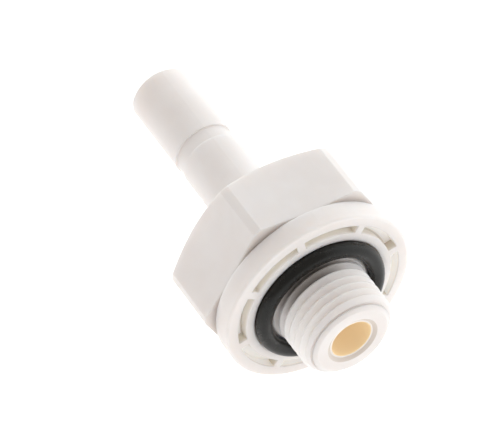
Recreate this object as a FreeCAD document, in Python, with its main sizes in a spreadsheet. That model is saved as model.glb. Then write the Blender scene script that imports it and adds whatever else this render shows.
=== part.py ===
import FreeCAD, Part
import Sketcher
import math
import os

# One-piece moulded stem adaptor with a sealing ring.
# Axis of the whole part is X: the thread points +X, the plain stem points -X.
# Origin is the centre of the flange's sealing face. +Z is up, and the hexagon
# has one flat facing straight down, so the fitting can lie on that flat.

doc = FreeCAD.newDocument("stem_adaptor")

# ---------------------------------------------------------------- dimensions
dims = doc.addObject("Spreadsheet::Sheet", "dims")
SIZES = [
    # stem
    ("stem_end_x", -30.7, "free end of the stem"),
    ("stem_radius", 3.175, "quarter inch tube size"),
    ("stem_lead_radius", 2.975, "broken end edge, small end"),
    ("stem_lead_length", 0.2, "broken end edge, length"),
    ("groove_far_x", -21.85, "retaining groove, far wall"),
    ("groove_near_x", -20.25, "retaining groove, near wall"),
    ("groove_radius", 3.0, "retaining groove, floor"),
    # hexagon
    ("hex_across_flats", 19.0, "spanner size"),
    ("hex_corner_radius", 10.73, "turned-off corners"),
    ("hex_front_x", -2.33, "front of the hexagon at the flange"),
    ("hex_front_corner_x", -2.58, "front chamfer ends on the corner"),
    ("hex_back_corner_x", -8.9, "back chamfer starts on the corner"),
    ("hex_back_x", -9.65, "back face of the hexagon"),
    ("hex_back_face_radius", 9.2, "flat ring of the back face"),
    ("hex_relief_radius", 9.36, "relief between hexagon and flange"),
    # flange
    ("flange_radius", 9.88, "round sealing flange"),
    ("flange_back_x", -2.15, "back of the flange"),
    ("flange_edge_round", 0.28, "front outer edge"),
    # seal seat
    ("seat_radius", 6.98, "recess that holds the sealing ring"),
    ("seat_floor_x", -0.57, "floor of the recess"),
    # cored slots
    ("slot_inner_radius", 7.85, "ring of cored slots, inner wall"),
    ("slot_outer_radius", 8.72, "ring of cored slots, outer wall"),
    ("slot_depth", 1.0, "depth of the slots"),
    ("slot_count", 8, "slots around the face"),
    ("rib_width", 0.8, "rib between two slots"),
    ("slot_turn", 37.5, "first slot centre, from +Z towards -Y"),
    # plain collar at the root of the thread
    ("collar_radius", 5.16, "centres the sealing ring"),
    ("collar_front_x", 0.27, "front of the collar"),
    ("collar_edge", 0.16, "broken front edge of the collar"),
    # male thread, parallel pipe thread size 1/8
    ("thread_crest_radius", 4.864, "major diameter 9.728"),
    ("thread_root_radius", 4.283, "minor diameter 8.566"),
    ("thread_pitch", 0.907, "28 per inch"),
    ("thread_flat", 0.15, "flat at crest and root"),
    ("thread_end_x", 4.98, "crests end, lead-in begins"),
    ("nose_radius", 4.17, "small end of the lead-in"),
    ("nose_x", 5.76, "lead-in meets the nose"),
    ("nose_face_radius", 3.74, "outer edge of the end face"),
    ("end_x", 6.1, "end face"),
    # bore
    ("bore_radius", 2.1, "through bore"),
    ("bore_mouth_radius", 2.67, "wide end of the bore mouth"),
    ("bore_mouth_floor", 2.27, "floor of the bore mouth, a narrow ledge"),
    ("bore_mouth_depth", 0.25, "depth of the bore mouth"),
    ("nose_line_x", 5.6, "fine turned line behind the nose, near side"),
    ("nose_line_width", 0.16, "width of that line"),
    ("nose_line_radius", 4.02, "floor of that line"),
    ("bore_stem_mouth", 0.25, "small chamfer at the stem end"),
    # sealing ring
    ("ring_section_radius", 0.8, "1.6 mm section"),
    ("ring_centre_radius", 6.12, "centre line of the section"),
    ("ring_x", 0.26, "centre plane of the ring"),
]
for i, (alias, value, note) in enumerate(SIZES, start=1):
    dims.set("A%d" % i, alias)
    dims.set("B%d" % i, str(value))
    dims.setAlias("B%d" % i, alias)
    dims.set("C%d" % i, note)
V = {a: float(v) for a, v, n in SIZES}
doc.recompute()


def D(alias):
    return "dims." + alias


# ------------------------------------------------------------------- helpers
def origin_feature(body, role):
    for f in body.Origin.OriginFeatures:
        if f.Role == role:
            return f
    raise RuntimeError("no origin feature " + role)


def new_sketch(body, name, role):
    sk = body.newObject("Sketcher::SketchObject", name)
    sk.AttachmentSupport = [(origin_feature(body, role), "")]
    sk.MapMode = "FlatFace"
    return sk


def closed_outline(sk, points):
    """points: (x, y, x expression, y expression), joined by straight lines."""
    n = len(points)
    for i in range(n):
        a, b = points[i], points[(i + 1) % n]
        sk.addGeometry(Part.LineSegment(FreeCAD.Vector(a[0], a[1], 0),
                                        FreeCAD.Vector(b[0], b[1], 0)), False)
    for i in range(n):
        sk.addConstraint(Sketcher.Constraint("Coincident", i, 2, (i + 1) % n, 1))
    for i, (x, y, ex, ey) in enumerate(points):
        c = sk.addConstraint(Sketcher.Constraint("DistanceX", i, 1, x))
        sk.renameConstraint(c, "x%d" % i)
        sk.setExpression("Constraints.x%d" % i, ex)
        c = sk.addConstraint(Sketcher.Constraint("DistanceY", i, 1, y))
        sk.renameConstraint(c, "y%d" % i)
        sk.setExpression("Constraints.y%d" % i, ey)


def pt(x, y):
    """A profile point from two entries, each an alias, number or (value, expr)."""
    out = []
    for q in (x, y):
        if isinstance(q, str):
            out.append((V[q], D(q)))
        elif isinstance(q, tuple):
            out.append(q)
        else:
            out.append((float(q), "%.6g" % q))
    return (out[0][0], out[1][0], out[0][1], out[1][1])


def revolve(body, kind, name, sk, tip=True):
    f = body.newObject(kind, name)
    f.Profile = sk
    f.ReferenceAxis = (origin_feature(body, "X_Axis"), [""])
    f.Angle = 360.0
    body.Tip = f
    sk.Visibility = False
    doc.recompute()
    return f


def volume(body):
    return body.Shape.Volume


# ============================================================ moulded body
body = doc.addObject("PartDesign::Body", "fitting_body")
body.Label = "fitting_body"
body.Placement = FreeCAD.Placement(FreeCAD.Vector(0, 0, 0), FreeCAD.Rotation())

# turned outline: stem, retaining groove, flange, seal seat, thread cylinder, nose
prof = new_sketch(body, "turned_outline", "XZ_Plane")
closed_outline(prof, [
    pt("stem_end_x", "bore_radius"),
    pt("stem_end_x", "stem_lead_radius"),
    pt((V["stem_end_x"] + V["stem_lead_length"],
        "dims.stem_end_x + dims.stem_lead_length"), "stem_radius"),
    pt("groove_far_x", "stem_radius"),
    pt("groove_far_x", "groove_radius"),
    pt("groove_near_x", "groove_radius"),
    pt("groove_near_x", "stem_radius"),
    pt("hex_back_x", "stem_radius"),
    pt((V["hex_back_x"] + 0.5, "dims.hex_back_x + 0.5"), "stem_radius"),
    pt((V["hex_back_x"] + 0.5, "dims.hex_back_x + 0.5"),
       (V["hex_relief_radius"] - 0.2, "dims.hex_relief_radius - 0.2")),
    pt("flange_back_x",
       (V["hex_relief_radius"] - 0.2, "dims.hex_relief_radius - 0.2")),
    pt("flange_back_x", "flange_radius"),
    pt(0, "flange_radius"),
    pt(0, "seat_radius"),
    pt("seat_floor_x", "seat_radius"),
    pt("seat_floor_x", "thread_crest_radius"),
    pt("thread_end_x", "thread_crest_radius"),
    pt("nose_x", "nose_radius"),
    pt("end_x", "nose_face_radius"),
    pt("end_x", "bore_radius"),
])
revolve(body, "PartDesign::Revolution", "turned_blank", prof)

# front outer edge of the flange, rounded with a concave turning cut
v0 = volume(body)
rnd = new_sketch(body, "flange_edge_outline", "XZ_Plane")
r0, rr = V["flange_radius"], V["flange_edge_round"]
F = FreeCAD.Vector
rnd.addGeometry(Part.ArcOfCircle(Part.Circle(F(-rr, r0 - rr, 0), F(0, 0, 1), rr),
                                 0.0, math.pi / 2), False)
rnd.addGeometry(Part.LineSegment(F(-rr, r0, 0), F(-rr, r0 + 1, 0)), False)
rnd.addGeometry(Part.LineSegment(F(-rr, r0 + 1, 0), F(1, r0 + 1, 0)), False)
rnd.addGeometry(Part.LineSegment(F(1, r0 + 1, 0), F(1, r0 - rr, 0)), False)
rnd.addGeometry(Part.LineSegment(F(1, r0 - rr, 0), F(0, r0 - rr, 0)), False)
for g0, p0, g1, p1 in ((0, 2, 1, 1), (1, 2, 2, 1), (2, 2, 3, 1), (3, 2, 4, 1), (4, 2, 0, 1)):
    rnd.addConstraint(Sketcher.Constraint("Coincident", g0, p0, g1, p1))
for kind, g, pos, name, val, expr in (
        ("Radius", 0, None, "edge_r", rr, D("flange_edge_round")),
        ("DistanceX", 0, 3, "cx", -rr, "-dims.flange_edge_round"),
        ("DistanceY", 0, 3, "cy", r0 - rr, "dims.flange_radius - dims.flange_edge_round"),
        ("DistanceX", 1, 1, "ax", -rr, "-dims.flange_edge_round"),
        ("DistanceY", 4, 2, "ay", r0 - rr, "dims.flange_radius - dims.flange_edge_round"),
        ("DistanceX", 1, 2, "bx", -rr, "-dims.flange_edge_round"),
        ("DistanceY", 1, 2, "by", r0 + 1, "dims.flange_radius + 1"),
        ("DistanceX", 2, 2, "ex", 1.0, "1"),
        ("DistanceY", 2, 2, "ey", r0 + 1, "dims.flange_radius + 1"),
        ("DistanceX", 3, 2, "fx", 1.0, "1"),
        ("DistanceY", 3, 2, "fy", r0 - rr, "dims.flange_radius - dims.flange_edge_round")):
    if pos is None:
        c = rnd.addConstraint(Sketcher.Constraint(kind, g, val))
    else:
        c = rnd.addConstraint(Sketcher.Constraint(kind, g, pos, val))
    rnd.renameConstraint(c, name)
    rnd.setExpression("Constraints." + name, expr)
revolve(body, "PartDesign::Groove", "flange_edge_rounding", rnd)
assert volume(body) < v0 - 0.5

# hexagon, flats facing +Z and -Z
hexsk = new_sketch(body, "hex_outline", "YZ_Plane")
hexsk.AttachmentOffset = FreeCAD.Placement(
    FreeCAD.Vector(0, 0, V["hex_front_x"]), FreeCAD.Rotation())
hexsk.setExpression("AttachmentOffset.Base.z", D("hex_front_x"))
corner = V["hex_across_flats"] / 2 / math.cos(math.radians(30))
pts = []
for i in range(6):
    ang = 60 * i
    pts.append((corner * math.cos(math.radians(ang)),
                corner * math.sin(math.radians(ang)),
                "dims.hex_across_flats / 2 / cos(30 deg) * cos(%d deg)" % ang,
                "dims.hex_across_flats / 2 / cos(30 deg) * sin(%d deg)" % ang))
closed_outline(hexsk, pts)
hexsk.addGeometry(Part.Circle(F(0, 0, 0), F(0, 0, 1), V["stem_radius"]), False)
hexsk.addConstraint(Sketcher.Constraint("Coincident", 6, 3, -1, 1))
c = hexsk.addConstraint(Sketcher.Constraint("Radius", 6, V["stem_radius"]))
hexsk.renameConstraint(c, "hole_r")
hexsk.setExpression("Constraints.hole_r", D("stem_radius"))
hexpad = body.newObject("PartDesign::Pad", "hex_bar")
hexpad.Profile = hexsk
hexpad.Reversed = True
hexpad.Length = V["hex_front_x"] - V["hex_back_x"]
hexpad.setExpression("Length", "dims.hex_front_x - dims.hex_back_x")
body.Tip = hexpad
hexsk.Visibility = False
doc.recompute()

# turned-off corners: back chamfer, corner cylinder, front chamfer
v0 = volume(body)
turn = new_sketch(body, "hex_turning_outline", "XZ_Plane")
closed_outline(turn, [
    pt("hex_back_x", "hex_back_face_radius"),
    pt("hex_back_corner_x", "hex_corner_radius"),
    pt("hex_front_corner_x", "hex_corner_radius"),
    pt("hex_front_x", "hex_relief_radius"),
    pt("flange_back_x", "hex_relief_radius"),
    pt("flange_back_x", (V["hex_corner_radius"] + 3, "dims.hex_corner_radius + 3")),
    pt((V["hex_back_x"] - 1, "dims.hex_back_x - 1"),
       (V["hex_corner_radius"] + 3, "dims.hex_corner_radius + 3")),
    pt((V["hex_back_x"] - 1, "dims.hex_back_x - 1"), "hex_back_face_radius"),
])
revolve(body, "PartDesign::Groove", "hex_turning", turn)
assert volume(body) < v0 - 1.0

# countersunk mouth of the bore at the thread end, small chamfer at the stem end
v0 = volume(body)
mouth = new_sketch(body, "bore_mouth_outline", "XZ_Plane")
closed_outline(mouth, [
    pt((V["end_x"] - V["bore_mouth_depth"],
        "dims.end_x - dims.bore_mouth_depth"), "bore_mouth_floor"),
    pt("end_x", "bore_mouth_radius"),
    pt((V["end_x"] + 1, "dims.end_x + 1"), "bore_mouth_radius"),
    pt((V["end_x"] + 1, "dims.end_x + 1"), (1.0, "1")),
    pt((V["end_x"] - V["bore_mouth_depth"],
        "dims.end_x - dims.bore_mouth_depth"), (1.0, "1")),
])
revolve(body, "PartDesign::Groove", "bore_mouth", mouth)
assert volume(body) < v0 - 0.5
v0 = volume(body)
back = new_sketch(body, "stem_mouth_outline", "XZ_Plane")
closed_outline(back, [
    pt((V["stem_end_x"] + V["bore_stem_mouth"],
        "dims.stem_end_x + dims.bore_stem_mouth"), "bore_radius"),
    pt("stem_end_x", (V["bore_radius"] + V["bore_stem_mouth"],
                      "dims.bore_radius + dims.bore_stem_mouth")),
    pt((V["stem_end_x"] - 1, "dims.stem_end_x - 1"),
       (V["bore_radius"] + V["bore_stem_mouth"],
        "dims.bore_radius + dims.bore_stem_mouth")),
    pt((V["stem_end_x"] - 1, "dims.stem_end_x - 1"), (1.0, "1")),
    pt((V["stem_end_x"] + V["bore_stem_mouth"],
        "dims.stem_end_x + dims.bore_stem_mouth"), (1.0, "1")),
])
revolve(body, "PartDesign::Groove", "stem_mouth", back)
assert volume(body) < v0 - 0.1

# one cored slot between two ribs
v0 = volume(body)
slot = new_sketch(body, "slot_outline", "YZ_Plane")
turn_deg = 90.0 + V["slot_turn"]
slot.AttachmentOffset = FreeCAD.Placement(
    FreeCAD.Vector(0, 0, 0), FreeCAD.Rotation(FreeCAD.Vector(0, 0, 1), turn_deg))
slot.setExpression("AttachmentOffset.Rotation.Angle", "(90 + dims.slot_turn) * 1 deg")
half = 180.0 / V["slot_count"]


def slot_end(radius):
    a = math.radians(half) - math.asin(V["rib_width"] / 2 / radius)
    return radius * math.cos(a), radius * math.sin(a), a


xo, yo, ao = slot_end(V["slot_outer_radius"])
xi, yi, ai = slot_end(V["slot_inner_radius"])
O = FreeCAD.Vector(0, 0, 0)
N = FreeCAD.Vector(0, 0, 1)
slot.addGeometry(Part.ArcOfCircle(Part.Circle(O, N, V["slot_outer_radius"]), -ao, ao), False)
slot.addGeometry(Part.LineSegment(FreeCAD.Vector(xo, yo, 0), FreeCAD.Vector(xi, yi, 0)), False)
slot.addGeometry(Part.ArcOfCircle(Part.Circle(O, N, V["slot_inner_radius"]), -ai, ai), False)
slot.addGeometry(Part.LineSegment(FreeCAD.Vector(xi, -yi, 0), FreeCAD.Vector(xo, -yo, 0)), False)
slot.addConstraint(Sketcher.Constraint("Coincident", 0, 2, 1, 1))
slot.addConstraint(Sketcher.Constraint("Coincident", 1, 2, 2, 2))
slot.addConstraint(Sketcher.Constraint("Coincident", 2, 1, 3, 1))
slot.addConstraint(Sketcher.Constraint("Coincident", 3, 2, 0, 1))
slot.addConstraint(Sketcher.Constraint("Coincident", 0, 3, -1, 1))
slot.addConstraint(Sketcher.Constraint("Coincident", 2, 3, -1, 1))
for g, name, alias in ((0, "outer_r", "slot_outer_radius"), (2, "inner_r", "slot_inner_radius")):
    c = slot.addConstraint(Sketcher.Constraint("Radius", g, V[alias]))
    slot.renameConstraint(c, name)
    slot.setExpression("Constraints." + name, D(alias))
for g, pos, sign, name, alias, y in (
        (0, 2, "", "yo_p", "slot_outer_radius", yo),
        (0, 1, "-", "yo_n", "slot_outer_radius", -yo),
        (2, 2, "", "yi_p", "slot_inner_radius", yi),
        (2, 1, "-", "yi_n", "slot_inner_radius", -yi)):
    c = slot.addConstraint(Sketcher.Constraint("DistanceY", g, pos, y))
    slot.renameConstraint(c, name)
    slot.setExpression(
        "Constraints." + name,
        "%sdims.%s * sin(180 deg / dims.slot_count - asin(dims.rib_width / 2 / dims.%s))"
        % (sign, alias, alias))
pocket = body.newObject("PartDesign::Pocket", "slot")
pocket.Profile = slot
pocket.Length = V["slot_depth"]
pocket.setExpression("Length", D("slot_depth"))
body.Tip = pocket
slot.Visibility = False
doc.recompute()
one = v0 - volume(body)
assert one > 3.0

# the ring of slots
ring = body.newObject("PartDesign::PolarPattern", "slot_ring")
ring.Originals = [pocket]
ring.Axis = (origin_feature(body, "X_Axis"), [""])
ring.Angle = 360
ring.Occurrences = int(V["slot_count"])
ring.setExpression("Occurrences", D("slot_count"))
body.Tip = ring
doc.recompute()
assert abs((v0 - volume(body)) - V["slot_count"] * one) < 0.02 * V["slot_count"] * one

# helical thread groove, cut from beyond the nose back to the seal seat
v0 = volume(body)
hel = new_sketch(body, "thread_groove_outline", "XZ_Plane")
crest_half = "(dims.thread_pitch - dims.thread_flat) / 2"
ch = (V["thread_pitch"] - V["thread_flat"]) / 2
rh = V["thread_flat"] / 2
over = 0.25
slope = (ch - rh) / (V["thread_crest_radius"] - V["thread_root_radius"])
wide = ch + over * slope
START = 6.624
wide_e = crest_half + " + %g * (%s - dims.thread_flat / 2) / (dims.thread_crest_radius - dims.thread_root_radius)" % (over, crest_half)
closed_outline(hel, [
    pt((START - rh, "%g - dims.thread_flat / 2" % START), "thread_root_radius"),
    pt((START + rh, "%g + dims.thread_flat / 2" % START), "thread_root_radius"),
    pt((START + wide, "%g + %s" % (START, wide_e)),
       (V["thread_crest_radius"] + over, "dims.thread_crest_radius + %g" % over)),
    pt((START - wide, "%g - (%s)" % (START, wide_e)),
       (V["thread_crest_radius"] + over, "dims.thread_crest_radius + %g" % over)),
])
thr = body.newObject("PartDesign::SubtractiveHelix", "thread_groove")
thr.Profile = hel
thr.ReferenceAxis = (origin_feature(body, "X_Axis"), [""])
thr.Mode = 0
thr.Pitch = V["thread_pitch"]
thr.setExpression("Pitch", D("thread_pitch"))
thr.Height = V["thread_pitch"] * 7.4
thr.setExpression("Height", "dims.thread_pitch * 7.4")
thr.LeftHanded = False
thr.Reversed = True
body.Tip = thr
hel.Visibility = False
doc.recompute()
assert volume(body) < v0 - 20.0

# plain collar between the thread and the flange; the thread runs out into it
v0 = volume(body)
col = new_sketch(body, "collar_outline", "XZ_Plane")
closed_outline(col, [
    pt("seat_floor_x", (3.4, "3.4")),
    pt("seat_floor_x", "collar_radius"),
    pt((V["collar_front_x"] - V["collar_edge"],
        "dims.collar_front_x - dims.collar_edge"), "collar_radius"),
    pt("collar_front_x", (V["collar_radius"] - V["collar_edge"],
                          "dims.collar_radius - dims.collar_edge")),
    pt("collar_front_x", (3.4, "3.4")),
])
revolve(body, "PartDesign::Revolution", "collar", col)
assert volume(body) > v0 + 5.0

# fine turned line between the last thread groove and the nose
v0 = volume(body)
line = new_sketch(body, "nose_line_outline", "XZ_Plane")
closed_outline(line, [
    pt("nose_line_x", "nose_line_radius"),
    pt((V["nose_line_x"] + V["nose_line_width"],
        "dims.nose_line_x + dims.nose_line_width"), "nose_line_radius"),
    pt((V["nose_line_x"] + V["nose_line_width"],
        "dims.nose_line_x + dims.nose_line_width"),
       (V["thread_crest_radius"] + 0.3, "dims.thread_crest_radius + 0.3")),
    pt("nose_line_x",
       (V["thread_crest_radius"] + 0.3, "dims.thread_crest_radius + 0.3")),
])
revolve(body, "PartDesign::Groove", "nose_line", line)
assert volume(body) < v0 - 0.3

# ============================================================ sealing ring
seal = doc.addObject("PartDesign::Body", "o_ring")
seal.Label = "o_ring"
seal.Placement = FreeCAD.Placement(FreeCAD.Vector(V["ring_x"], 0, 0), FreeCAD.Rotation())
seal.setExpression("Placement.Base.x", D("ring_x"))
sec = new_sketch(seal, "ring_section", "XZ_Plane")
sec.addGeometry(Part.Circle(FreeCAD.Vector(0, V["ring_centre_radius"], 0), N,
                            V["ring_section_radius"]), False)
c = sec.addConstraint(Sketcher.Constraint("Radius", 0, V["ring_section_radius"]))
sec.renameConstraint(c, "section_r")
sec.setExpression("Constraints.section_r", D("ring_section_radius"))
c = sec.addConstraint(Sketcher.Constraint("DistanceX", 0, 3, 0.0))
sec.renameConstraint(c, "on_plane")
c = sec.addConstraint(Sketcher.Constraint("DistanceY", 0, 3, V["ring_centre_radius"]))
sec.renameConstraint(c, "centre_r")
sec.setExpression("Constraints.centre_r", D("ring_centre_radius"))
revolve(seal, "PartDesign::Revolution", "ring_solid", sec)

# ------------------------------------------------------------------- checks
doc.recompute()
for o in doc.Objects:
    bad = [s for s in o.State if s in ("Invalid", "Error")]
    if bad:
        raise RuntimeError("%s is %s" % (o.Name, o.State))
    if hasattr(o, "Shape") and o.TypeId != "Sketcher::SketchObject" \
            and o.TypeId.startswith("PartDesign::"):
        if o.Shape.isNull() or not o.Shape.isValid():
            raise RuntimeError("bad shape " + o.Name)

os.makedirs("parts", exist_ok=True)
for b in (body, seal):
    s = b.Shape
    print(b.Label, "volume", round(s.Volume, 2), "solids", len(s.Solids),
          "box", [round(q, 3) for q in (s.BoundBox.XMin, s.BoundBox.XMax, s.BoundBox.YMin,
                                        s.BoundBox.YMax, s.BoundBox.ZMin, s.BoundBox.ZMax)])
    assert len(s.Solids) == 1
    s.exportStep("parts/%s.step" % b.Label)
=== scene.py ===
import bpy
from mathutils import Vector, Matrix


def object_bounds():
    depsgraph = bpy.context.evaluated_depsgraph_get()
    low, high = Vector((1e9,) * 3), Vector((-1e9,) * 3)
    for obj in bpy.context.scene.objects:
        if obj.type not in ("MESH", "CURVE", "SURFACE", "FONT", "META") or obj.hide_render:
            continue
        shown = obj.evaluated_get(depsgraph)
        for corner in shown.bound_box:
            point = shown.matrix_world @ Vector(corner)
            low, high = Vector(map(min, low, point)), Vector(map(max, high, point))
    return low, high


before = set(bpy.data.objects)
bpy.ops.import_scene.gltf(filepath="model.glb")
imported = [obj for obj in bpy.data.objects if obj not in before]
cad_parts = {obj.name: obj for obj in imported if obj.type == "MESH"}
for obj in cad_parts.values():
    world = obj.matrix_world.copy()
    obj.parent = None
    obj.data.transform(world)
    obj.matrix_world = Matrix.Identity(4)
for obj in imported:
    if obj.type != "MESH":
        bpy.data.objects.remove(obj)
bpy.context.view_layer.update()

body = bpy.data.objects["fitting_body"]
ring = bpy.data.objects["o_ring"]
lo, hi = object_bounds()

# ------------------------------------------------------------------ camera
# origin of the part is the centre of the flange face; numbers in metres
cam_data = bpy.data.cameras.new("camera")
cam = bpy.data.objects.new("camera", cam_data)
bpy.context.scene.collection.objects.link(cam)
right = Vector((0.49794, 0.86707, 0.01589))
up = Vector((-0.64364, 0.35722, 0.67684))
back = right.cross(up).normalized()
right = up.cross(back).normalized()
rot = Matrix((right, up, back)).transposed().to_4x4()
cam.matrix_world = Matrix.Translation(Vector((0.1817734, -0.1170378, 0.2455760))) @ rot
cam_data.sensor_fit = "HORIZONTAL"
cam_data.sensor_width = 36.0
cam_data.lens = 3500.0 * 36.0 / 487.0
cam_data.clip_start = 0.01
cam_data.clip_end = 10.0
bpy.context.scene.camera = cam


# --------------------------------------------------------------- materials
class Nodes:
    def __init__(self, name):
        self.mat = bpy.data.materials.new(name)
        self.mat.use_nodes = True
        self.t = self.mat.node_tree
        self.t.nodes.clear()
        self.out = self.t.nodes.new("ShaderNodeOutputMaterial")
        self.bsdf = self.t.nodes.new("ShaderNodeBsdfPrincipled")
        self.t.links.new(self.bsdf.outputs[0], self.out.inputs["Surface"])

    def add(self, kind, **props):
        n = self.t.nodes.new(kind)
        for k, v in props.items():
            setattr(n, k, v)
        return n

    def link(self, a, b):
        self.t.links.new(a, b)

    def put(self, socket, value):
        """value is a number or an output socket"""
        if hasattr(value, "is_output"):
            self.link(value, socket)
        else:
            socket.default_value = value

    def math(self, op, a, b=0.0, c=0.0, clamp=False):
        n = self.add("ShaderNodeMath", operation=op, use_clamp=clamp)
        self.put(n.inputs[0], a)
        self.put(n.inputs[1], b)
        if len(n.inputs) > 2:
            self.put(n.inputs[2], c)
        return n.outputs[0]

    def mix(self, fac, a, b, blend="MIX"):
        n = self.add("ShaderNodeMix", data_type="RGBA", blend_type=blend)
        self.put(n.inputs["Factor"], fac)
        self.put(n.inputs[6], a)
        self.put(n.inputs[7], b)
        return n.outputs[2]

    def noise(self, vec, scale, detail=4.0, rough=0.5, dist=0.0):
        n = self.add("ShaderNodeTexNoise")
        self.link(vec, n.inputs["Vector"])
        n.inputs["Scale"].default_value = scale
        n.inputs["Detail"].default_value = detail
        n.inputs["Roughness"].default_value = rough
        n.inputs["Distortion"].default_value = dist
        return n.outputs["Fac"]

    def ramp(self, fac, stops):
        n = self.add("ShaderNodeValToRGB")
        self.link(fac, n.inputs[0])
        e = n.color_ramp.elements
        e[0].position, e[0].color = stops[0]
        e[1].position, e[1].color = stops[-1]
        for p, c in stops[1:-1]:
            q = e.new(p)
            q.color = c
        return n.outputs[0]

    def map(self, v, a0, a1, b0, b1):
        n = self.add("ShaderNodeMapRange")
        n.clamp = True
        self.put(n.inputs["Value"], v)
        for key, q in (("From Min", a0), ("From Max", a1), ("To Min", b0), ("To Max", b1)):
            n.inputs[key].default_value = q
        return n.outputs["Result"]


def moulded_plastic():
    m = Nodes("natural_white_acetal")
    co = m.add("ShaderNodeTexCoord").outputs["Object"]
    sep = m.add("ShaderNodeSeparateXYZ")
    m.link(co, sep.inputs[0])
    x, y, z = sep.outputs
    rad = m.math("SQRT", m.math("ADD", m.math("MULTIPLY", y, y), m.math("MULTIPLY", z, z)))
    # faint cloudiness of natural resin and slow flow marks away from the gate
    cloud = m.noise(co, 260.0, 4.0, 0.55)
    flow = m.noise(co, 90.0, 3.0, 0.6, 0.8)
    base = m.mix(m.map(cloud, 0.35, 0.65, 0.0, 1.0), (0.854, 0.810, 0.790, 1), (0.884, 0.847, 0.832, 1))
    base = m.mix(m.map(flow, 0.4, 0.62, 0.0, 0.35), base, (0.832, 0.778, 0.752, 1))
    # painted light: the cored slots and the thread's grooves are painted paler, the grooves more on one side,
    # lifting the shade of these recesses beyond what the thin, light-passing walls give
    n = m.add("ShaderNodeSeparateXYZ")
    m.link(m.add("ShaderNodeTexCoord").outputs["Normal"], n.inputs[0])
    turn = m.math("DIVIDE", m.math("SUBTRACT", m.math("MULTIPLY", n.outputs[2], y), m.math("MULTIPLY", n.outputs[1], z)), rad)
    side = m.map(m.math("ABSOLUTE", turn), 0.4, 0.85, 0.0, 1.0)
    level = m.math("SUBTRACT", 1.0, side)
    slot = m.math("MULTIPLY", m.map(rad, 0.00792, 0.00808, 0.0, 1.0), m.map(rad, 0.00880, 0.00890, 1.0, 0.0))
    sunk = m.math("MULTIPLY", m.map(x, -0.00030, -0.00004, 1.0, 0.0), m.map(x, -0.00130, -0.00115, 0.0, 1.0))
    slot = m.math("MULTIPLY", m.math("MULTIPLY", slot, level), sunk)
    groove = m.math("MULTIPLY", m.map(m.math("DIVIDE", y, rad), -0.95, -0.2, 0.8, 0.25), m.math("MULTIPLY", m.map(x, 0.00150, 0.00170, 0.0, 1.0), m.map(x, 0.00500, 0.00520, 1.0, 0.0)))
    groove = m.math("MULTIPLY", groove, m.map(rad, 0.00380, 0.00400, 0.0, 1.0))
    base = m.mix(m.math("MAXIMUM", slot, groove), base, (0.965, 0.938, 0.918, 1))
    # painted shade: the thick inner wall and the ends of the slots are painted darker, as shade in the recess
    core = m.math("MULTIPLY", m.map(rad, 0.00786, 0.00800, 1.0, 0.0), m.map(rad, 0.00770, 0.00780, 0.0, 1.0))
    ends = m.math("MULTIPLY", side, m.math("MULTIPLY", m.map(rad, 0.00780, 0.00790, 0.0, 1.0), m.map(rad, 0.00873, 0.00880, 1.0, 0.0)))
    slot_wall_shade = m.math("MULTIPLY", m.math("MAXIMUM", m.math("MULTIPLY", core, 0.8), ends), sunk)
    base = m.mix(slot_wall_shade, base, (0.76, 0.72, 0.64, 1))
    # painted shade: the mouth of the bore and the hexagon's corners behind the flange are painted darker too, as
    # shade in these hollows
    mouth = m.math("MULTIPLY", m.map(rad, 0.00266, 0.00268, 1.0, 0.0), m.math("MULTIPLY", m.map(x, 0.00586, 0.00588, 0.0, 1.0), m.map(rad, 0.00227, 0.00230, 0.0, 1.0)))
    corner = m.math("MULTIPLY", m.map(x, -0.00262, -0.00235, 0.0, 1.0), m.map(x, -0.00226, -0.00218, 1.0, 0.0))
    corner = m.math("MULTIPLY", corner, m.map(rad, 0.0094, 0.0099, 0.0, 1.0))
    base = m.mix(mouth, base, (0.71, 0.65, 0.60, 1))
    base = m.mix(m.math("MULTIPLY", corner, 0.6), base, (0.56, 0.48, 0.42, 1))
    # painted shadow: the root of the thread is painted dark on its upper side, as the rubber ring's shadow
    upper = m.math("DIVIDE", m.math("SUBTRACT", m.math("MULTIPLY", z, 0.904), m.math("MULTIPLY", y, 0.427)), rad)
    root = m.math("MULTIPLY", m.map(x, 0.00135, 0.00158, 1.0, 0.0), m.map(x, -0.0006, -0.0005, 0.0, 1.0))
    root = m.math("MULTIPLY", root, m.math("MULTIPLY", m.map(rad, 0.00400, 0.00415, 0.0, 1.0), m.map(rad, 0.00525, 0.00535, 1.0, 0.0)))
    root = m.math("MULTIPLY", root, m.map(upper, 0.60, 0.97, 0.0, 1.0))
    root = m.math("MULTIPLY", root, m.map(rad, 0.00488, 0.00498, 0.64, 0.93))
    base = m.mix(root, base, (0.16, 0.135, 0.115, 1))
    # painted light and shade: inside the bore the wall is painted warm tan, darker away from both ends, for
    # light passed through the resin and the shade within the bore
    inside = m.map(rad, 0.00211, 0.00217, 1.0, 0.0)
    depth = m.math("MAXIMUM", m.map(x, -0.0050, 0.0026, 0.0, 1.0), m.map(x, -0.0302, -0.0262, 0.7, 0.0))
    base = m.mix(inside, base, m.mix(depth, (0.50, 0.38, 0.21, 1), (0.66, 0.53, 0.33, 1)))
    m.link(base, m.bsdf.inputs["Base Color"])
    m.bsdf.inputs["Roughness"].default_value = 0.42
    rough = m.map(m.noise(co, 900.0, 3.0, 0.6), 0.3, 0.7, 0.36, 0.5)
    m.link(rough, m.bsdf.inputs["Roughness"])
    m.bsdf.inputs["IOR"].default_value = 1.48
    m.bsdf.inputs["Specular IOR Level"].default_value = 0.45
    m.bsdf.inputs["Subsurface Weight"].default_value = 0.8
    m.bsdf.inputs["Subsurface Radius"].default_value = (1.0, 0.92, 0.84)
    m.bsdf.inputs["Subsurface Scale"].default_value = 0.0010
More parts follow.
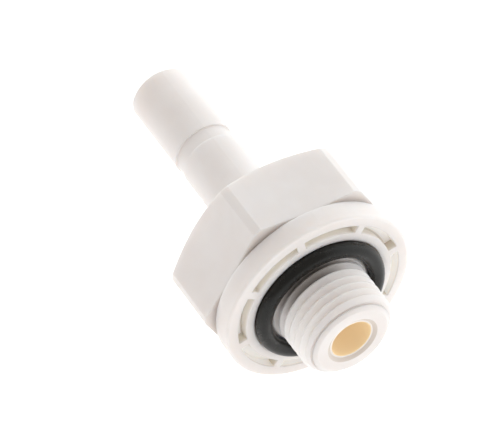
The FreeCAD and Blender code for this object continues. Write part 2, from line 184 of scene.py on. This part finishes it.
    # painted light: the thread's grooves, the slots and the bore are given an emission, for light passed through
    # the resin
    painted_glow = m.mix(m.math("MULTIPLY", groove, 0.4), (0, 0, 0, 1), (0.34, 0.31, 0.29, 1))
    painted_glow = m.mix(slot, painted_glow, (0.30, 0.285, 0.26, 1))
    painted_glow = m.mix(inside, painted_glow, m.mix(depth, (0.10, 0.06, 0.025, 1), (0.72, 0.565, 0.365, 1)))
    m.link(painted_glow, m.bsdf.inputs["Emission Color"])
    m.bsdf.inputs["Emission Strength"].default_value = 0.4
    # fine satin spark texture of the mould
    bump = m.add("ShaderNodeBump")
    bump.inputs["Strength"].default_value = 0.12
    bump.inputs["Distance"].default_value = 0.00004
    m.link(m.noise(co, 3500.0, 2.0, 0.5), bump.inputs["Height"])
    # moulded edges are never quite sharp
    soft = m.add("ShaderNodeBevel", samples=6)
    soft.inputs["Radius"].default_value = 0.00012
    m.link(soft.outputs[0], bump.inputs["Normal"])
    m.link(bump.outputs[0], m.bsdf.inputs["Normal"])
    return m.mat


def seal_rubber():
    m = Nodes("black_nitrile_rubber")
    co = m.add("ShaderNodeTexCoord").outputs["Object"]
    tone = m.noise(co, 500.0, 4.0, 0.6)
    base = m.mix(m.map(tone, 0.3, 0.7, 0.0, 1.0), (0.0025, 0.0025, 0.0015, 1), (0.006, 0.0058, 0.004, 1))
    m.link(base, m.bsdf.inputs["Base Color"])
    m.link(m.map(m.noise(co, 1400.0, 3.0, 0.6), 0.3, 0.7, 0.24, 0.36), m.bsdf.inputs["Roughness"])
    m.bsdf.inputs["IOR"].default_value = 1.47
    m.bsdf.inputs["Specular IOR Level"].default_value = 0.34
    bump = m.add("ShaderNodeBump")
    bump.inputs["Strength"].default_value = 0.15
    bump.inputs["Distance"].default_value = 0.00004
    m.link(m.noise(co, 2600.0, 3.0, 0.6), bump.inputs["Height"])
    m.link(bump.outputs[0], m.bsdf.inputs["Normal"])
    return m.mat


def floor_paint():
    m = Nodes("studio_floor")
    co = m.add("ShaderNodeTexCoord").outputs["Object"]
    tone = m.noise(co, 3.0, 3.0, 0.5)
    base = m.mix(m.map(tone, 0.3, 0.7, 0.0, 1.0), (0.90, 0.90, 0.90, 1), (0.92, 0.92, 0.92, 1))
    m.link(base, m.bsdf.inputs["Base Color"])
    m.bsdf.inputs["Roughness"].default_value = 0.9
    m.bsdf.inputs["Specular IOR Level"].default_value = 0.1
    # a white diffuser lit evenly from beneath
    m.bsdf.inputs["Emission Color"].default_value = (1.0, 1.0, 1.0, 1)
    m.bsdf.inputs["Emission Strength"].default_value = 0.55
    return m.mat


plastic = moulded_plastic()
rubber = seal_rubber()
for o, mat in ((body, plastic), (ring, rubber)):
    for s in o.material_slots:
        s.material = mat

# ------------------------------------------------------------------- floor
floor_z = lo.z - 0.00002
me = bpy.data.meshes.new("floor")
S = 6.0
me.from_pydata([(-S, -S, floor_z), (S, -S, floor_z), (S, S, floor_z), (-S, S, floor_z)], [], [(0, 1, 2, 3)])
floor = bpy.data.objects.new("floor", me)
bpy.context.scene.collection.objects.link(floor)
me.materials.append(floor_paint())

# ------------------------------------------------------------------- light
world = bpy.data.worlds.new("studio")
bpy.context.scene.world = world
world.use_nodes = True
wt = world.node_tree
wt.nodes.clear()
wo = wt.nodes.new("ShaderNodeOutputWorld")
bg = wt.nodes.new("ShaderNodeBackground")
wt.links.new(bg.outputs[0], wo.inputs[0])
tc = wt.nodes.new("ShaderNodeTexCoord")
dot = wt.nodes.new("ShaderNodeVectorMath")
dot.operation = "DOT_PRODUCT"
wt.links.new(tc.outputs["Generated"], dot.inputs[0])
dot.inputs[1].default_value = (0.505, -0.675, 0.538)
mr = wt.nodes.new("ShaderNodeMapRange")
wt.links.new(dot.outputs["Value"], mr.inputs["Value"])
mr.inputs["From Min"].default_value = 0.02
mr.inputs["From Max"].default_value = 0.48
mr.inputs["To Min"].default_value = 1.44
mr.inputs["To Max"].default_value = 0.50
# more light comes from ahead of the thread than from behind the stem
axial = wt.nodes.new("ShaderNodeSeparateXYZ")
wt.links.new(tc.outputs["Generated"], axial.inputs[0])
ahead = wt.nodes.new("ShaderNodeMapRange")
wt.links.new(axial.outputs[0], ahead.inputs["Value"])
ahead.inputs["From Min"].default_value = -0.75
ahead.inputs["From Max"].default_value = -0.05
ahead.inputs["To Min"].default_value = 0.90
ahead.inputs["To Max"].default_value = 1.055
power = wt.nodes.new("ShaderNodeMath")
power.operation = "MULTIPLY"
wt.links.new(mr.outputs[0], power.inputs[0])
wt.links.new(ahead.outputs[0], power.inputs[1])
wt.links.new(power.outputs[0], bg.inputs["Strength"])
# the shaded side of the studio is a touch warmer than the lit side
warm = wt.nodes.new("ShaderNodeMapRange")
wt.links.new(dot.outputs["Value"], warm.inputs["Value"])
warm.inputs["From Min"].default_value = 0.02
warm.inputs["From Max"].default_value = 0.48
tint = wt.nodes.new("ShaderNodeMix")
tint.data_type = "RGBA"
wt.links.new(warm.outputs[0], tint.inputs["Factor"])
tint.inputs[6].default_value = (0.965, 1.0, 1.01, 1)
tint.inputs[7].default_value = (1.045, 1.0, 0.965, 1)
wt.links.new(tint.outputs[2], bg.inputs["Color"])

vs = bpy.context.scene.view_settings
vs.view_transform = "Standard"
vs.look = "None"
vs.exposure = 0.0
vs.gamma = 1.0
